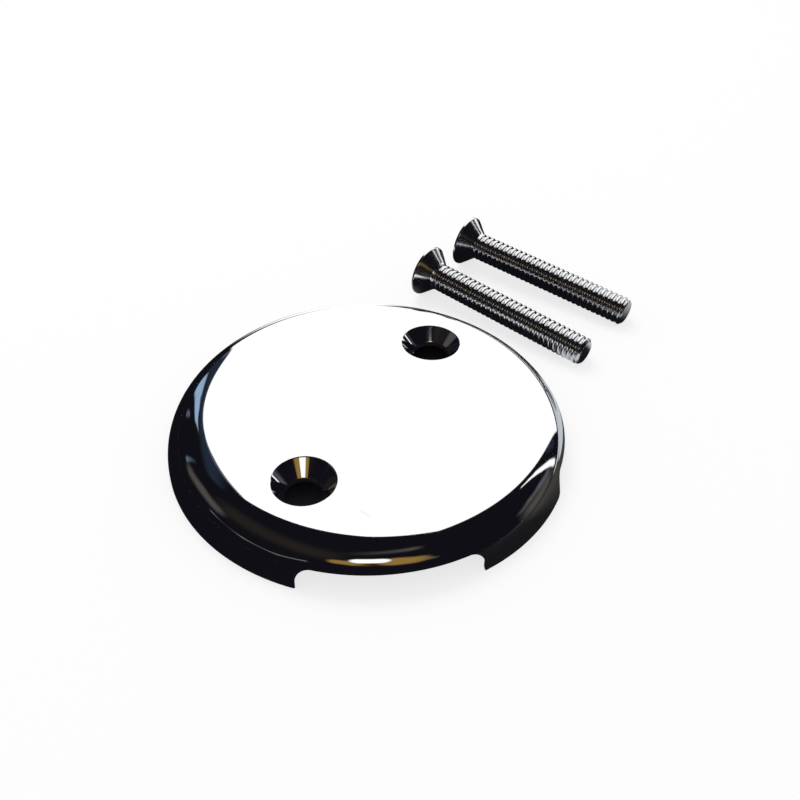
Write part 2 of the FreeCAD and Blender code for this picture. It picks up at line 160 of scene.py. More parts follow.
def rolled(corners, reach):
    """A profile with each inner corner rolled: a parabola through points a reach before and after the corner.

    Its points are (1-t)^2 A + 2t(1-t) C + t^2 B, with the corner C and t at 0, 1/4, 1/2, 3/4 and 1.
    """
    corners = np.asarray(corners, float)
    reach = np.broadcast_to(np.asarray(reach, float), (len(corners) - 2,))[:, None]
    middle = corners[1:-1]
    before = corners[:-2] - middle
    after = corners[2:] - middle
    first = middle + reach * before / np.linalg.norm(before, axis=1, keepdims=True)
    last = middle + reach * after / np.linalg.norm(after, axis=1, keepdims=True)
    t = np.linspace(0, 1, 5)[None, :, None]
    bends = (1 - t) ** 2 * first[:, None] + 2 * t * (1 - t) * middle[:, None] + t**2 * last[:, None]
    return np.concatenate([corners[:1], bends.reshape(-1, 2), corners[-1:]])


# ---------------------------------------------------------------- plate


def crown_end(radius):
    """Angle up the bullnose, in radians, at which the crown's parabola touches it, and its focal length.

    The parabola starts level where the flat ends. Its fall equals run * cot(angle) / 2 there.
    """
    low, high = 1.3, 1.57
    for _ in range(50):
        angle = (low + high) / 2
        run = NOSE_CENTRE - FLAT_RADIUS + radius * math.cos(angle)
        short = CROWN_FALL + radius * (1 - math.sin(angle)) - run / math.tan(angle) / 2
        low, high = (angle, high) if short < 0 else (low, angle)
    return angle, run * math.tan(angle) / 2


OUTER_END, OUTER_FOCAL = crown_end(OUTER_NOSE)
INNER_END, INNER_FOCAL = crown_end(INNER_NOSE)


def crown(x, y, top, focal):
    """Height of the crown and its slopes along x and y.

    It is top - (r - flat)^2 / 4 focal, and level inside the flat.
    """
    r = np.hypot(x, y)
    beyond = np.maximum(r - FLAT_RADIUS, 0)
    fall = -beyond / (2 * focal) / np.maximum(r, 1e-9)
    return top - beyond**2 / (4 * focal), fall * x, fall * y


def soft_lower(a, b, blend):
    """The lower of two (height, slope, slope) surfaces, rolled at the joint.

    It is mix(b, a, h) - blend h (1 - h).
    """
    h = np.clip(0.5 + 0.5 * (b[0] - a[0]) / blend, 0, 1)
    height = h * a[0] + (1 - h) * b[0] - blend * h * (1 - h)
    return height, h * a[1] + (1 - h) * b[1], h * a[2] + (1 - h) * b[2]


HOLE_RIM_Z = float(crown(HOLE_OFFSET, HOLE_Y, TOP, OUTER_FOCAL)[0])
LIP_TOP = HOLE_RIM_Z - (MOUTH_RADIUS - HOLE_RADIUS) * DIMPLE_SLOPE
LIP_BOTTOM = LIP_TOP - LIP_LENGTH


def dimple(x, y, centre, radius, level):
    """Height and slopes of a dimple's cone: it has the given radius at the given level and opens upwards."""
    dx, dy = x - centre, y - HOLE_Y
    away = np.maximum(np.hypot(dx, dy), 1e-9)
    return level + (away - radius) * DIMPLE_SLOPE, DIMPLE_SLOPE * dx / away, DIMPLE_SLOPE * dy / away


def top_surface(x, y, centre):
    """The plate's upper face: the lower of the crown and the countersink, with a rolled mouth."""
    return soft_lower(crown(x, y, TOP, OUTER_FOCAL), dimple(x, y, centre, MOUTH_RADIUS, HOLE_RIM_Z), 0.16)


def under_surface(x, y, centre):
    """The plate's lower face: the lower of the crown's underside and the dimple's outside."""
    skin = dimple(x, y, centre, HOLE_RADIUS + CONE_SKIN, LIP_TOP)
    return soft_lower(crown(x, y, TOP - WALL, INNER_FOCAL), skin, 0.3)


def notch_half(inset):
    """Half of a notch's edge from outside, as (distance along the rim, height), from the rim to its middle.

    The rim, a small rounded foot, the upright side, the round upper corner and the level top. The inset
    moves it into the metal: the foot's radius shrinks by it, and the upper corner's grows.
    """
    foot = NOTCH_HALF + NOTCH_FOOT
    turn = np.linspace(1.5 * np.pi, np.pi, 5)
    upper = np.linspace(0, 0.5 * np.pi, 13)[1:]
    rim_x = np.linspace(FAN_REACH, foot, 7)[:-1]
    side_z = np.linspace(NOTCH_FOOT, NOTCH_DEPTH - NOTCH_CORNER, 5)[1:]
    top_x = np.linspace(NOTCH_HALF - NOTCH_CORNER, 0, 25)[1:]
    return np.concatenate(
        [
            np.stack([rim_x, np.full_like(rim_x, inset)], 1),
            np.stack(
                [
                    foot + (NOTCH_FOOT - inset) * np.cos(turn),
                    NOTCH_FOOT + (NOTCH_FOOT - inset) * np.sin(turn),
                ],
                1,
            ),
            np.stack([np.full_like(side_z, NOTCH_HALF + inset), side_z], 1),
            np.stack(
                [
                    NOTCH_HALF - NOTCH_CORNER + (NOTCH_CORNER + inset) * np.cos(upper),
                    NOTCH_DEPTH - NOTCH_CORNER + (NOTCH_CORNER + inset) * np.sin(upper),
                ],
                1,
            ),
            np.stack([top_x, np.full_like(top_x, NOTCH_DEPTH + inset)], 1),
        ]
    )


def sheet_place(q, radius):
    """Radius, height and slope angle at a length q up the sheet: straight, then round the bullnose's arc."""
    turn = np.maximum(q, 0) / radius
    return NOSE_CENTRE + radius * np.cos(turn), SKIRT + radius * np.sin(turn) + np.minimum(q, 0), turn


def sheet_length(z, radius):
    """The length q up the sheet at which it is z high: the arc's, or the straight skirt's below it."""
    lift = z - SKIRT
    return np.where(lift > 0, radius * np.arcsin(np.clip(lift / radius, 0, 1)), lift)


def edge_loop(inset, radius):
    """The plate's lower edge all round as (angle, length up the sheet), with its notches, inset."""
    half = notch_half(inset)
    full = np.concatenate([half * [-1, 1], half[::-1][1:]])
    q = sheet_length(full[:, 1], radius)
    swing = np.arcsin(full[:, 0] / sheet_place(q, radius)[0])
    fan_end = math.asin(FAN_REACH / sheet_place(sheet_length(np.array(inset), radius), radius)[0])
    first, second = (math.radians(b) for b in NOTCH_BEARINGS)
    quarter = math.pi / 2
    spans = [
        np.linspace(first + fan_end, 3 * quarter, 23)[1:],
        np.linspace(3 * quarter, second - fan_end, 5)[1:-1],
        np.linspace(second + fan_end, 5 * quarter, 121)[1:],
        np.linspace(5 * quarter, first + 4 * quarter - fan_end, 91)[1:-1],
    ]
    rim_q = sheet_length(np.array(inset), radius)
    angle = np.concatenate([first + swing, spans[0], spans[1], second + swing, spans[2], spans[3]])
    length = np.concatenate(
        [q, np.full(len(spans[0]) + len(spans[1]), rim_q), q, np.full(len(spans[2]) + len(spans[3]), rim_q)]
    )
    return angle, length


def fan_angles():
    """The columns' angles on the crown: even along the rim, and over a notch spread by |along| + 0.35 |up|.

    So the columns lean apart over a notch's upright sides and never cross.
    """
    angle, _ = edge_loop(0.0, OUTER_NOSE)
    half = notch_half(0.0)
    full = np.concatenate([half * [-1, 1], half[::-1][1:]])
    step = np.abs(np.diff(full, axis=0)) @ [1, 0.35]
    along = np.concatenate([[0], np.cumsum(step)]) / step.sum()
    between = len(full) + 22 + 3
    for start in (0, between):
        stop = start + len(full)
        angle[start:stop] = angle[start] + along * (angle[stop - 1] - angle[start])
    return angle


def round_place(angle, q, radius):
    """Points on the sheet at an angle round the axis and a length up it, and the outside normal there."""
    r, z, turn = sheet_place(q, radius)
    points = np.stack([r * np.cos(angle), r * np.sin(angle), z + 0 * angle], -1)
    flat = np.cos(turn)
    normals = np.stack([flat * np.cos(angle), flat * np.sin(angle), np.sin(turn) + 0 * angle], -1)
    return points, normals


def bullnose_side(radius, end, rows_high, rows_low, columns):
    """Rows from the crown's end to just inside the edge: level above, then leaning to the edge's outline."""
    split = radius * math.radians(52)
    high_q = np.linspace(radius * end, split, rows_high)[:-1, None] + 0 * columns[None, :]
    high_angle = 0 * high_q + columns[None, :]
    angle, q = edge_loop(EDGE_ROLL, radius)
    share = np.linspace(0, 1, rows_low)[:, None]
    low_q = split + share * (q[None, :] - split)
    low_angle = columns[None, :] + share * (angle[None, :] - columns[None, :])
    return round_place(np.concatenate([high_angle, low_angle]), np.concatenate([high_q, low_q]), radius)


def sheet_edge(inner, outer, corner_out, corner_in):
    """Rows across the sheet's cut edge: a rolled corner, the cut face and the other rolled corner."""
    across = corner_in - corner_out
    across /= np.linalg.norm(across, axis=-1, keepdims=True)
    start = corner_out + EDGE_ROLL * across
    stop = corner_in - EDGE_ROLL * across
    t = np.array([0.25, 0.5, 0.75])[:, None, None]
    near = (1 - t) ** 2 * outer + 2 * t * (1 - t) * corner_out + t**2 * start
    far = (1 - t) ** 2 * stop + 2 * t * (1 - t) * corner_in + t**2 * inner
    return np.concatenate([near, start[None], (start / 2 + stop / 2)[None], stop[None], far])


def rim_ring(columns):
    """The bullnose, skirt, cut edge and inner side in one grid that closes round the plate."""
    out_points, out_normals = bullnose_side(OUTER_NOSE, OUTER_END, 13, 16, columns)
    in_points, in_normals = bullnose_side(INNER_NOSE, INNER_END, 7, 10, columns)
    corner_out = round_place(*edge_loop(0.0, OUTER_NOSE), OUTER_NOSE)[0]
    corner_in = round_place(*edge_loop(0.0, INNER_NOSE), INNER_NOSE)[0]
    edge = sheet_edge(in_points[-1], out_points[-1], corner_out, corner_in)
    points = np.concatenate([out_points, edge, in_points[::-1]])
    normals = np.concatenate([out_normals, np.full_like(edge, np.nan), -in_normals[::-1]])
    rows, count = points.shape[:2]
    return points.reshape(-1, 3), normals.reshape(-1, 3), grid_faces(rows, count)


def mouth_line(direction, side, level, radius, top, focal):
    """How far from the hole's axis, along a direction, a cone meets the crown, by five substitutions."""
    away = np.full(len(direction), radius + 0.0)
    for _ in range(5):
        x, y = side * HOLE_OFFSET + away * direction[:, 0], HOLE_Y + away * direction[:, 1]
        height = crown(x, y, top, focal)[0]
        away = radius + (height - level) / DIMPLE_SLOPE
    return away


def height_rows(away, direction, centre, surface, sign):
    """Points of a height surface along lines out from a hole's axis, with normals on the sign's side."""
    x = centre + away * direction[:, 0]
    y = HOLE_Y + away * direction[:, 1]
    z, slope_x, slope_y = surface(x, y, centre)
    normals = np.stack([-slope_x, -slope_y, np.ones_like(z)], -1) * sign
    return np.stack([x, y, z], -1), normals / np.linalg.norm(normals, axis=-1, keepdims=True)


def half_crown(columns, side):
    """Half of the top with its dimple, hole and underside, on lines from the crown's end to the hole's axis.

    The half's border is an arc of the crown's end and the straight line over the plate's middle. Each
    row follows the dimple's mouth, and the hole's wall and lip are a rolled profile about its axis.
    """
    centre = side * HOLE_OFFSET
    start = 1.5 * math.pi if side > 0 else 2.5 * math.pi
    arc = np.sort(np.concatenate([columns, columns + 2 * math.pi]))
    arc = arc[(arc > start - 1e-9) & (arc < start + math.pi + 1e-9)]
    chord = np.linspace(1, -1, 62)[1:-1] * side

    def border(radius):
        curve = radius * np.stack([np.cos(arc), np.sin(arc)], -1)
        return np.concatenate([curve, np.stack([0 * chord, radius * chord], -1)])

    def aim(radius):
        offset = border(radius) - [centre, HOLE_Y]
        reach = np.linalg.norm(offset, axis=1)
        return offset / reach[:, None], reach

    out_aim, out_reach = aim(NOSE_CENTRE + OUTER_NOSE * math.cos(OUTER_END))
    in_aim, in_reach = aim(NOSE_CENTRE + INNER_NOSE * math.cos(INNER_END))
    mouth = mouth_line(out_aim, side, HOLE_RIM_Z, MOUTH_RADIUS, TOP, OUTER_FOCAL)
    root = mouth_line(in_aim, side, LIP_TOP, HOLE_RADIUS + CONE_SKIN, TOP - WALL, INNER_FOCAL)

    wide = np.linspace(1, 0, 15)[:, None] ** 1.6
    crown_rows = mouth + 0.36 + (out_reach - mouth - 0.36) * wide
    mouth_rows = mouth + np.array([0.28, 0.2, 0.14, 0.08, 0.03, -0.03, -0.08, -0.14, -0.2, -0.28])[:, None]
    cone_rows = HOLE_RADIUS + 0.12 + (mouth - 0.28 - HOLE_RADIUS - 0.12) * np.linspace(1, 0, 8)[1:, None]
    top_points, top_normals = height_rows(
        np.concatenate([crown_rows, mouth_rows, cone_rows]), out_aim, centre, top_surface, 1
    )

    foot = HOLE_RADIUS + CONE_SKIN - LIP_LENGTH / DIMPLE_SLOPE
    profile = rolled(
        [
            (HOLE_RADIUS + 0.12, LIP_TOP + 0.12 * DIMPLE_SLOPE),
            (HOLE_RADIUS, LIP_TOP),
            (HOLE_RADIUS, LIP_BOTTOM),
            (foot, LIP_BOTTOM),
            (foot + 0.12, LIP_BOTTOM + 0.12 * DIMPLE_SLOPE),
        ],
        [0.1, 0.12, 0.1],
    )[1:-1]
    wall_points = np.stack(
        [
            centre + profile[:, :1] * out_aim[:, 0],
            HOLE_Y + profile[:, :1] * out_aim[:, 1],
            profile[:, 1:] + 0 * out_aim[:, 0],
        ],
        -1,
    )

    skin_rows = foot + 0.12 + (root - 0.4 - foot - 0.12) * np.linspace(0, 1, 5)[:, None]
    root_rows = root + np.array([-0.25, -0.12, 0, 0.12, 0.25])[:, None]
    back_rows = root + 0.45 + (in_reach - root - 0.45) * np.linspace(0, 1, 10)[:, None] ** 1.6
    low_points, low_normals = height_rows(
        np.concatenate([skin_rows, root_rows, back_rows]), in_aim, centre, under_surface, -1
    )
    points = np.concatenate([top_points, wall_points, low_points])
    normals = np.concatenate([top_normals, np.full_like(wall_points, np.nan), low_normals])
    rows, count = points.shape[:2]
    # the halves run round the other way from the rim ring
    return points.reshape(-1, 3), normals.reshape(-1, 3), grid_faces(rows, count)


def plate_surfaces():
    """The whole plate: the rim's ring and two half crowns that meet it and each other."""
    columns = fan_angles()
    ring = rim_ring(columns)
    halves = [half_crown(columns, side) for side in (1, -1)]
    return [ring] + [(p, n, f[:, ::-1]) for p, n, f in halves]


# ---------------------------------------------------------------- screws


def cross_angles():
    """Angles round the screw, close together where the cross recess has its corners."""
    corner = math.atan2(RECESS_HALF_SLOT, RECESS_REACH)
    eighth = np.concatenate([np.linspace(0, corner, 5)[:-1], np.linspace(corner, math.pi / 4, 7)[:-1]])
    quarter = np.unique(np.round(np.concatenate([eighth, [math.pi / 4], math.pi / 2 - eighth]), 9))[:-1]
    return (quarter[None, :] + np.arange(4)[:, None] * math.pi / 2).ravel()


def cross_reach(angle):
    """How far a cross reaches along each angle: the greater of its two bars' reaches."""
    c, s = np.abs(np.cos(angle)) + 1e-12, np.abs(np.sin(angle)) + 1e-12
    level = np.minimum(RECESS_REACH / c, RECESS_HALF_SLOT / s)
    upright = np.minimum(RECESS_REACH / s, RECESS_HALF_SLOT / c)
    return np.maximum(level, upright)


def head_surface(angle):
    """The screw's head from the middle of its recess out over the oval crown, land and cone, along +x.

    Rows are (x, radius) for each angle. The recess tapers from the cross at the crown to the same
    cross at a share of its size on the floor.
    """
    ball = (HEAD_RADIUS**2 + HEAD_CROWN**2) / (2 * HEAD_CROWN)
    cross = cross_reach(angle)
    floor_x = RECESS_DEPTH - HEAD_CROWN

    def oval(radius):
        return ball - HEAD_CROWN - np.sqrt(ball**2 - radius**2)

    floor = cross * RECESS_FLOOR_SHARE
    share = np.array([0.0, 0.03, 0.35, 0.7, 0.965])[:, None]
    wall_r = floor + (cross - floor) * share
    wall_x = floor_x + (oval(cross) - floor_x) * share
    lip_r = cross + np.array([0.02, 0.1, 0.2])[:, None]
    open_r = cross + 0.2 + (HEAD_RADIUS - 0.12 - cross - 0.2) * np.linspace(0, 1, 9)[1:, None]
    rows_x = [np.full_like(wall_x[:1], floor_x), np.full_like(wall_x[:1], floor_x), wall_x]
    rows_r = [0 * wall_r[:1], wall_r[:1] * 0.9, wall_r]
    for r in (lip_r, open_r):
        rows_x.append(oval(r))
        rows_r.append(r)
    side = rolled(
        [
            (float(oval(HEAD_RADIUS - 0.12)), HEAD_RADIUS - 0.12),
            (0.0, HEAD_RADIUS),
            (HEAD_LAND, HEAD_RADIUS),
            (2.6, HEAD_RADIUS - (2.6 - HEAD_LAND) / DIMPLE_SLOPE),
        ],
        [0.08, 0.1],
    )[1:]
    rows_x.append(side[:, :1] + 0 * angle)
    rows_r.append(side[:, 1:] + 0 * angle)
    return np.concatenate(rows_x), np.concatenate(rows_r)


def thread_surface(angle, start, phase):
    """The threaded shank: a ridge that climbs one pitch a turn, on rows that follow the helix.

    A row's x is (row / 12 + angle / turn) pitches. The ridge has a narrow root and a rounded crest,
    1 - (1 - w) ** 2.2. Near the head it runs out into the cone, and at the end it is cut by the bevel.
    """
    turns = np.arange(0, int((SCREW_LENGTH - start) / PITCH * 12) + 26)[:, None] / 12 - 1
    x = start + PITCH * (turns + angle[None, :] / (2 * math.pi))
    wave = 1 - np.abs(2 * ((turns + phase) % 1) - 1)
    ridge = 1 - (1 - np.clip((wave - 0.06) / 0.8, 0, 1)) ** 2.2
    x = np.clip(x, start, SCREW_LENGTH)
    thread = ROOT_RADIUS + (CREST_RADIUS - ROOT_RADIUS) * ridge + 0 * x
    neck = HEAD_RADIUS - (x - HEAD_LAND) / DIMPLE_SLOPE
    h = np.clip(0.5 + 0.5 * (neck - thread) / 0.3, 0, 1)
    r = h * neck + (1 - h) * thread + 0.3 * h * (1 - h)
    r = np.where(neck - thread > 0.3, neck, r)
    bevel = CREST_RADIUS - (x - (SCREW_LENGTH - TIP_BEVEL)) * 1.0
    return x, np.minimum(np.minimum(r, np.where(x < 8, 9, CREST_RADIUS)), np.where(x > 30, bevel, 9))


def screw_surfaces(phase):
    """One screw along +x with its head's widest plane at 0: the head, the thread and the flat tip."""
    angle = cross_angles()
    head_x, head_r = head_surface(angle)
    thread_x, thread_r = thread_surface(angle, float(head_x[-1, 0]), phase)
    end_r = thread_r[-1:]
    tip_r = np.concatenate([end_r - 0.06, end_r - 0.14, end_r * 0.5, end_r * 0])
    tip_x = SCREW_LENGTH - np.array([0.0, 0.0, 0.0, 0.0])[:, None] + 0 * tip_r
    parts = []
    for x, r in ((head_x, head_r), (np.concatenate([thread_x, tip_x]), np.concatenate([thread_r, tip_r]))):
        points = np.stack([x, r * np.cos(angle), r * np.sin(angle)], -1)
        rows, count = points.shape[:2]
        faces = grid_faces(rows, count)
        parts.append((points.reshape(-1, 3), np.full((rows * count, 3), np.nan), faces))
    return parts


def laid_down(parts, x, y, bearing):
    """Lays a screw on its head's edge and its tip: tipped, turned to its bearing and moved to its place."""
    drop = HEAD_RADIUS - CREST_RADIUS
    tilt = math.atan(drop / (SCREW_LENGTH - TIP_BEVEL - HEAD_LAND))
    lift = HEAD_LAND * math.sin(tilt) + HEAD_RADIUS * math.cos(tilt)
    turn = np.array(Matrix.Rotation(math.radians(bearing), 3, "Z") @ Matrix.Rotation(tilt, 3, "Y"))
    return [(points @ turn.T + [x, y, lift], normals, faces) for points, normals, faces in parts]


# ---------------------------------------------------------------- materials


class Socket:
    """One output of a shader node. Sums and products of sockets and numbers add their Math nodes."""

    def __init__(self, maker, output):
        self.maker = maker
        self.output = output

    def maths(self, operation, *values):
        return self.maker.node("ShaderNodeMath", {"operation": operation}, dict(enumerate(values)))

    def __add__(self, other):
        return self.maths("ADD", self, other)

    def __sub__(self, other):
        return self.maths("SUBTRACT", self, other)

    def __rsub__(self, other):
        return self.maths("SUBTRACT", other, self)

    def __mul__(self, other):
        return self.maths("MULTIPLY", self, other)

    def __truediv__(self, other):
        return self.maths("DIVIDE", self, other)

    __radd__ = __add__
    __rmul__ = __mul__

    def ramp(self, low, high):
        """A smooth step from 0 at low to 1 at high."""
        settings = {"interpolation_type": "SMOOTHSTEP"}
        values = {"Value": self, "From Min": low, "From Max": high, "To Min": 0.0, "To Max": 1.0}
        return self.maker.node("ShaderNodeMapRange", settings, values)


class Maker:
    """Builds one node tree."""

    def __init__(self, tree):
        self.tree = tree
        tree.nodes.clear()

    def node(self, kind, settings=None, values=None, output=0):
        """A node of a kind with its settings, then the values or links of its sockets; returns one output."""
        made = self.tree.nodes.new(kind)
        for name, value in (settings or {}).items():
            setattr(made, name, value)
        for key, value in (values or {}).items():
            if isinstance(value, Socket):
                self.tree.links.new(value.output, made.inputs[key])
            else:
                made.inputs[key].default_value = value
        return Socket(self, made.outputs[output]) if made.outputs else None

    def mix(self, factor, first, second):
        """A colour between two colours."""
        return self.node(
            "ShaderNodeMix", {"data_type": "RGBA"}, {0: factor, 6: first, 7: second}, output=2
        )

    def finish(self, kind, shader):
        """Joins a shader to the tree's output node."""
        self.node(kind, None, {"Surface": shader})


def new_material(name):
    material = bpy.data.materials.new(name)
    material.use_nodes = True
    return material, Maker(material.node_tree)


def chrome(name, colour, haze, scale, grain, ripple_depth):
    """Polished chrome plate: a faint haze, fine polishing grain, wiping marks and slightly worn edges."""
    material, m = new_material(name)

    def noise(vector, size, detail, rough):
        values = {"Vector": vector, "Scale": size, "Detail": detail, "Roughness": rough}
        return m.node("ShaderNodeTexNoise", None, values)

    place = m.node("ShaderNodeTexCoord", output=3)
    cloud = noise(place, scale, 4.0, 0.6)
    fine = noise(place, grain, 3.0, 0.7)
    drawn = m.node(
        "ShaderNodeMapping", None, {"Vector": place, "Rotation": (0.3, 0.2, 0.6), "Scale": (0.04, 1.0, 0.4)}
    )
    wipes = noise(drawn, grain * 3, 2.0, 0.5).ramp(0.58, 0.72)
    worn = m.node("ShaderNodeNewGeometry", output=7).ramp(0.53, 0.6)
    roughness = haze + 0.03 * cloud.ramp(0.45, 0.75) + 0.02 * fine.ramp(0.55, 0.8)
    roughness = roughness + 0.025 * wipes + 0.08 * worn
    tone = m.mix(cloud.ramp(0.35, 0.7), (*[c * 0.985 for c in colour], 1), (*colour, 1))
    tone = m.mix(worn * 0.3, tone, (0.6, 0.59, 0.57, 1))
    relief = cloud * 0.7 + fine * 0.12
    ripple = m.node("ShaderNodeBump", None, {"Strength": ripple_depth, "Distance": 0.00002, "Height": relief})
    shader = m.node(
        "ShaderNodeBsdfPrincipled",
        None,
        {"Base Color": tone, "Metallic": 1.0, "Roughness": roughness, "Normal": ripple},
    )
    m.finish("ShaderNodeOutputMaterial", shader)
    return material


# ---------------------------------------------------------------- studio

# the photograph's side of the part, as a bearing in degrees
PHOTO_BEARING = -58
TENT_RADIUS = 2.6
MAT_RADIUS = 2.4

# lights and shades that the chrome mirrors
WHITE = (1.27, 1.27, 1.27)
DARK = (0.006, 0.006, 0.009)
PEARL = (0.62, 0.65, 0.68)
SKY = (0.33, 0.47, 0.66)
SLATE = (0.12, 0.165, 0.22)
NAVY = (0.018, 0.027, 0.043)
MAUVE = (0.12, 0.125, 0.16)
STONE = (0.088, 0.081, 0.072)
SILVER = (0.2, 0.2, 0.2)
BROWN = (0.021, 0.017, 0.0145)
GOLD = (0.33, 0.195, 0.045)
RUST = (0.056, 0.018, 0.0065)


def turned(m):
    """The place in the studio, to the side, to the back and up, seen from the photograph's side."""
    place = m.node("ShaderNodeTexCoord", output=3)
    split = m.node("ShaderNodeSeparateXYZ", None, {0: place}).output.node
    x, y, z = (Socket(m, split.outputs[i]) for i in range(3))
    turn = math.radians(PHOTO_BEARING)
    return x * math.cos(turn) + y * math.sin(turn), y * math.cos(turn) - x * math.sin(turn), z


def pale_floor():
    """A wide pale table. Part of its paleness is its own, so the lamps' light only shades it softly.

    Under the plate the table is painted dark and gives no light of its own: painted shade under the plate,
    seen through its holes and notches.
    """
    bpy.ops.mesh.primitive_plane_add(size=6, location=(0, 0, 0))
    floor = bpy.context.object
    floor.name = "table"
    material, m = new_material("pale_table")
    side, back, _ = turned(m)
    # painted shade under the plate: the table turns dark within about 31 to 34 mm of a point 4 mm behind the
    # plate's middle
    ahead = back - 0.004
    outside_painted_shade = side.maths("SQRT", side * side + ahead * ahead).ramp(0.031, 0.034)
    ray = m.node("ShaderNodeLightPath")
    shown = Socket(m, ray.output.node.outputs["Is Camera Ray"])
    mirrored = Socket(m, ray.output.node.outputs["Is Glossy Ray"])
    through = Socket(m, ray.output.node.outputs["Is Transmission Ray"])
    # the table's own pale colour, with the painted shade under the plate
    table_colour_and_painted_shade = m.mix(outside_painted_shade, (0.06, 0.06, 0.07, 1), (0.86, 0.86, 0.86, 1))
    plain = m.node("ShaderNodeBsdfDiffuse", None, {"Color": table_colour_and_painted_shade})
    lit = m.node("ShaderNodeEmission", None, {"Color": (1.0, 1.0, 1.0, 1), "Strength": 1.0})
    share = shown.maths("MAXIMUM", shown, mirrored)
    # the table's own light fades out in the painted shade under the plate
    share = share.maths("MAXIMUM", share, through) * 0.75 * outside_painted_shade
    m.finish("ShaderNodeOutputMaterial", m.node("ShaderNodeMixShader", None, {0: share, 1: plain, 2: lit}))
    floor.data.materials.append(material)


def reflection_only(card):
    """A card that shows only in reflections: it takes no light from the table and casts no shadow."""
    card.visible_camera = False
    card.visible_diffuse = False
    card.visible_shadow = False


def dark_mat():
    """A dark mat just over the table, with pale parts behind and to the right. Only the chrome shows it."""
    bpy.ops.mesh.primitive_circle_add(
        vertices=96, radius=MAT_RADIUS, fill_type="NGON", location=(0, 0, 0.00001)
    )
    mat = bpy.context.object
    mat.name = "mat"
    material, m = new_material("dark_mat")
    side, back, _ = turned(m)

    def spot(at_side, at_back, wide, deep, low, high):
        """An oval share of 1 that falls to 0 between two shares of its size."""
        across, along = (side - at_side) / wide, (back - at_back) / deep
        return 1 - (across * across + along * along).ramp(low, high)

    behind = back.ramp(0.043, 0.056) * side.ramp(-0.040, -0.028) * (1 - side.ramp(0.004, 0.014))
    # pale at the plate's right edge, less the shade at the front screw's tip, and on behind the tips
    by_tips = spot(0.060, 0.018, 0.022, 0.014, 0.7, 1.1) * (1 - spot(0.050, 0.0235, 0.005, 0.004, 0.6, 1.5))
    pale = by_tips.maths("MAXIMUM", by_tips, spot(0.110, 0.048, 0.050, 0.034, 0.7, 1.1))
    # a dim glow to the right, near the plate and far off
    near_glow = spot(0.075, -0.008, 0.045, 0.026, 0.1, 1.3)
    glow = near_glow.maths("MAXIMUM", near_glow, spot(0.8, -0.02, 0.76, 0.16, 0.3, 1.2))
    colour = m.mix(glow, (*DARK, 1), (*[c * 0.7 for c in STONE], 1))
    colour = m.mix(behind, colour, (*WHITE, 1))
    colour = m.mix(pale, colour, (*PEARL, 1))
    m.finish("ShaderNodeOutputMaterial", m.node("ShaderNodeEmission", None, {"Color": colour}))
    mat.data.materials.append(material)
    reflection_only(mat)


STREAKS = [
    # places (azimuth from straight back to the right, elevation), half widths and softness, all in
    # degrees, and the colours at its two ends
    (((-24, 8), (-22, 42)), (4.0, 6.0), 3.0, (NAVY, NAVY)),
    (((-30, 44), (-52, 46)), (5.0, 4.0), 3.0, (NAVY, NAVY)),
    (((-95, 42), (-150, 46)), (10.0, 9.0), 7.0, (BROWN, BROWN)),
    (((-170, 56), (150, 57)), (3.0, 3.0), 3.0, (BROWN, STONE)),
    (((-22.5, 8), (-22, 40)), (0.9, 0.9), 0.7, (MAUVE, MAUVE)),
    (((-22, 43), (-30, 51), (-39, 57)), (0.9, 0.9), 0.7, (MAUVE, MAUVE)),
    (((-31.7, 11), (-32, 31)), (3.3, 3.0), 0.8, (SKY, SKY)),
    (((-32, 31), (-33, 37)), (3.0, 0.1), 0.8, (SKY, SKY)),
    (((-29, 28), (-28, 35)), (0.4, 0.4), 0.5, (NAVY, NAVY)),
    (((-42, 12), (-41, 19)), (1.2, 0.8), 0.8, (MAUVE, MAUVE)),
    (((-62, 17), (-58, 31)), (1.4, 0.7), 0.9, (SLATE, NAVY)),
    (((-69, 18), (-78, 24), (-90, 26)), (4.0, 5.0), 4.0, (STONE, STONE)),
    (((-93, 14), (-115, 15), (-134, 17), (-148, 23)), (0.7, 0.8), 0.6, (SILVER, SILVER)),
    (((-163, 34.5), (-172, 34)), (4.0, 4.0), 2.0, (GOLD, GOLD)),
    (((-172, 34), (177, 33)), (4.0, 4.0), 3.0, (GOLD, RUST)),
    (((177, 34), (166, 35)), (4.0, 7.0), 3.0, (RUST, GOLD)),
    (((166, 35), (156, 32)), (7.0, 6.0), 3.0, (GOLD, GOLD)),
    (((156, 32), (146, 26)), (5.0, 1.0), 2.0, (GOLD, STONE)),
    (((-175, 39.5), (174, 39.5)), (4.5, 4.5), 1.2, (WHITE, WHITE)),
    (((71, 41), (69, 37), (68, 32)), (0.6, 1.4), 0.8, (WHITE, WHITE)),
    (((68, 32), (68, 23), (67, 14), (66, 3)), (1.6, 2.0), 0.8, (WHITE, WHITE)),
    (((96, 15), (88, 17), (79, 15), (73, 11)), (2.0, 3.0), 3.0, (STONE, MAUVE)),
    (((90, 4), (79, 3)), (7.0, 8.0), 6.0, (STONE, STONE)),
    (((58, 20), (57, 11)), (2.0, 2.0), 2.0, (NAVY, NAVY)),
]


def aim(azimuth, elevation):
    """The direction at an azimuth from straight back, to the right, and an elevation."""
    a, e = math.radians(azimuth), math.radians(elevation)
    return Vector((math.cos(e) * math.sin(a), math.cos(e) * math.cos(a), math.sin(e)))


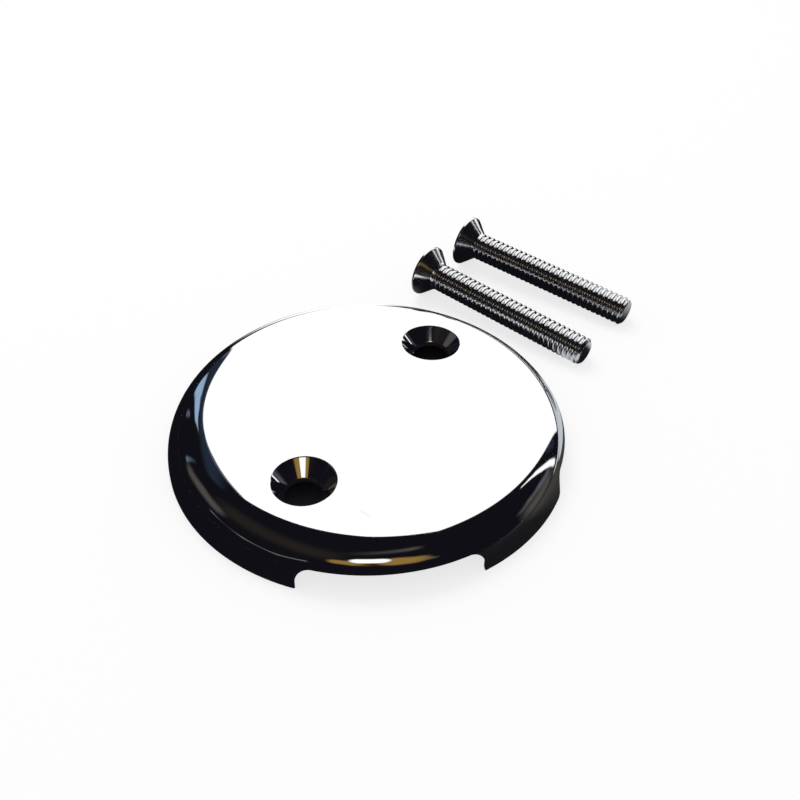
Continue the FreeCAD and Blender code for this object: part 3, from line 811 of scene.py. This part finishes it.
def streak(m, place, colour, ends, widths, soft, tints):
    """Lays a soft-edged streak with tapered width, and a tint at each end, between two directions."""
    start, end = (aim(*e) for e in ends)
    span = end - start
    off = m.node("ShaderNodeVectorMath", {"operation": "SUBTRACT"}, {0: place, 1: start})
    toward = span / span.length_squared
    share = m.node("ShaderNodeVectorMath", {"operation": "DOT_PRODUCT"}, {0: off, 1: toward}, output=1)
    share = m.node("ShaderNodeClamp", None, {0: share})
    foot = m.node("ShaderNodeVectorMath", {"operation": "SCALE"}, {0: span, "Scale": share})
    gap = m.node("ShaderNodeVectorMath", {"operation": "DISTANCE"}, {0: off, 1: foot}, output=1)
    gap = gap * (180 / math.pi)
    inside = 1 - (gap - share * (widths[1] - widths[0]) - widths[0]).ramp(-soft, soft)
    return m.mix(inside, colour, m.mix(share, *((*tint, 1) for tint in tints)))


def window(side, back, z):
    """The share of the white window behind: inside soft-edged planes through the middle of the tent."""

    def inside(plane_side, plane_back, plane_z):
        return (side * plane_side + back * plane_back + z * plane_z).ramp(-0.01, 0.01)

    low_left, high_left = inside(1, 0.384, 0), inside(1, -0.145, 0.489)
    left = low_left.maths("MAXIMUM", low_left, high_left)
    far = inside(0.904, 1, -0.14) * inside(0.407, 1, -0.14)
    return left * far * inside(-0.613, 0.766, 0.195) * (z + 0.02).ramp(-0.01, 0.01)


def tent():
    """A dark tent round the table with a white soft window behind, which the chrome mirrors.

    Dim streaks beside the window stand for the room's small lights and edges.
    """
    bpy.ops.mesh.primitive_uv_sphere_add(segments=96, ring_count=48, radius=TENT_RADIUS, location=(0, 0, 0))
    ball = bpy.context.object
    ball.name = "tent"
    material, m = new_material("tent_cloth")
    side, back, z = (part / TENT_RADIUS for part in turned(m))
    place = m.node("ShaderNodeCombineXYZ", None, {0: side, 1: back, 2: z})
    colour = m.mix(0.0, (*DARK, 1), (*DARK, 1))
    for places, widths, soft, tints in STREAKS:
        steps = len(places) - 1
        for i in range(steps):
            shares = (i / steps, (i + 1) / steps)
            ends = places[i : i + 2]
            part_widths = [widths[0] + (widths[1] - widths[0]) * s for s in shares]
            part_tints = [[a + (b - a) * s for a, b in zip(*tints)] for s in shares]
            colour = streak(m, place, colour, ends, part_widths, soft, part_tints)
    colour = m.mix(window(side, back, z), colour, (*WHITE, 1))
    m.finish("ShaderNodeOutputMaterial", m.node("ShaderNodeEmission", None, {"Color": colour}))
    ball.data.materials.append(material)
    reflection_only(ball)


def lamps():
    """Even light from all round, and one large soft lamp overhead for the objects' shadows."""
    world = bpy.data.worlds.new("studio")
    bpy.context.scene.world = world
    world.use_nodes = True
    m = Maker(world.node_tree)
    sky = m.node("ShaderNodeBackground", None, {"Color": (1, 1, 1, 1), "Strength": 0.8})
    m.finish("ShaderNodeOutputWorld", sky)
    light = bpy.data.lights.new("soft_lamp", "AREA")
    light.shape = "DISK"
    light.size = 0.5
    light.energy = 3.0
    lamp = bpy.data.objects.new("soft_lamp", light)
    lamp.location = (0.25, 0.35, 0.75)
    lamp.rotation_euler = (Vector((0, 0, 0)) - lamp.location).to_track_quat("-Z", "Y").to_euler()
    lamp.visible_glossy = False
    bpy.context.scene.collection.objects.link(lamp)


def photo_camera():
    """The photograph's viewpoint: 206 mm from the plate's middle, 43 degrees above the table."""
    away, elevation = 206.14 * MM, math.radians(43.264)
    bearing, roll = math.radians(PHOTO_BEARING), math.radians(-0.676)
    focal, middle_x, middle_y, width = 1024.34, 367.70, 441.07, 800
    turned = Matrix.Rotation(bearing, 3, "Z")
    eye = turned @ Vector((0, -away * math.cos(elevation), away * math.sin(elevation)))
    ahead = -eye.normalized()
    right = ahead.cross(Vector((0, 0, 1))).normalized()
    up = right.cross(ahead)
    right, up = math.cos(roll) * right + math.sin(roll) * up, math.cos(roll) * up - math.sin(roll) * right
    data = bpy.data.cameras.new("photo_camera")
    data.sensor_width = 36
    data.lens = focal / width * 36
    data.shift_x = (width / 2 - middle_x) / width
    data.shift_y = (middle_y - width / 2) / width
    data.clip_start = 0.01
    camera = bpy.data.objects.new("photo_camera", data)
    axes = Matrix((right, up, -ahead)).transposed()
    camera.matrix_world = Matrix.Translation(eye) @ axes.to_4x4()
    bpy.context.scene.collection.objects.link(camera)
    bpy.context.scene.camera = camera


bpy.context.scene.view_settings.view_transform = "Standard"
photo_camera()
pale_floor()
dark_mat()
tent()
lamps()

plate_chrome = chrome("chrome_plate", (0.8, 0.81, 0.83), 0.035, 60.0, 900.0, 0.15)
screw_chrome = chrome("plated_screw", (0.78, 0.78, 0.79), 0.15, 120.0, 1500.0, 0.2)

plate = make_piece("overflow_plate", plate_surfaces(), "face_plate")
plate.data.materials.append(plate_chrome)
for name, phase, place in (
    ("front_screw", 0.1, (51.7, 15.4, -98.6)),
    ("rear_screw", 0.6, (67.85, 13.45, -95.75)),
):
    screw = make_piece(f"{name}_piece", laid_down(screw_surfaces(phase), *place), name)
    screw.data.materials.append(screw_chrome)
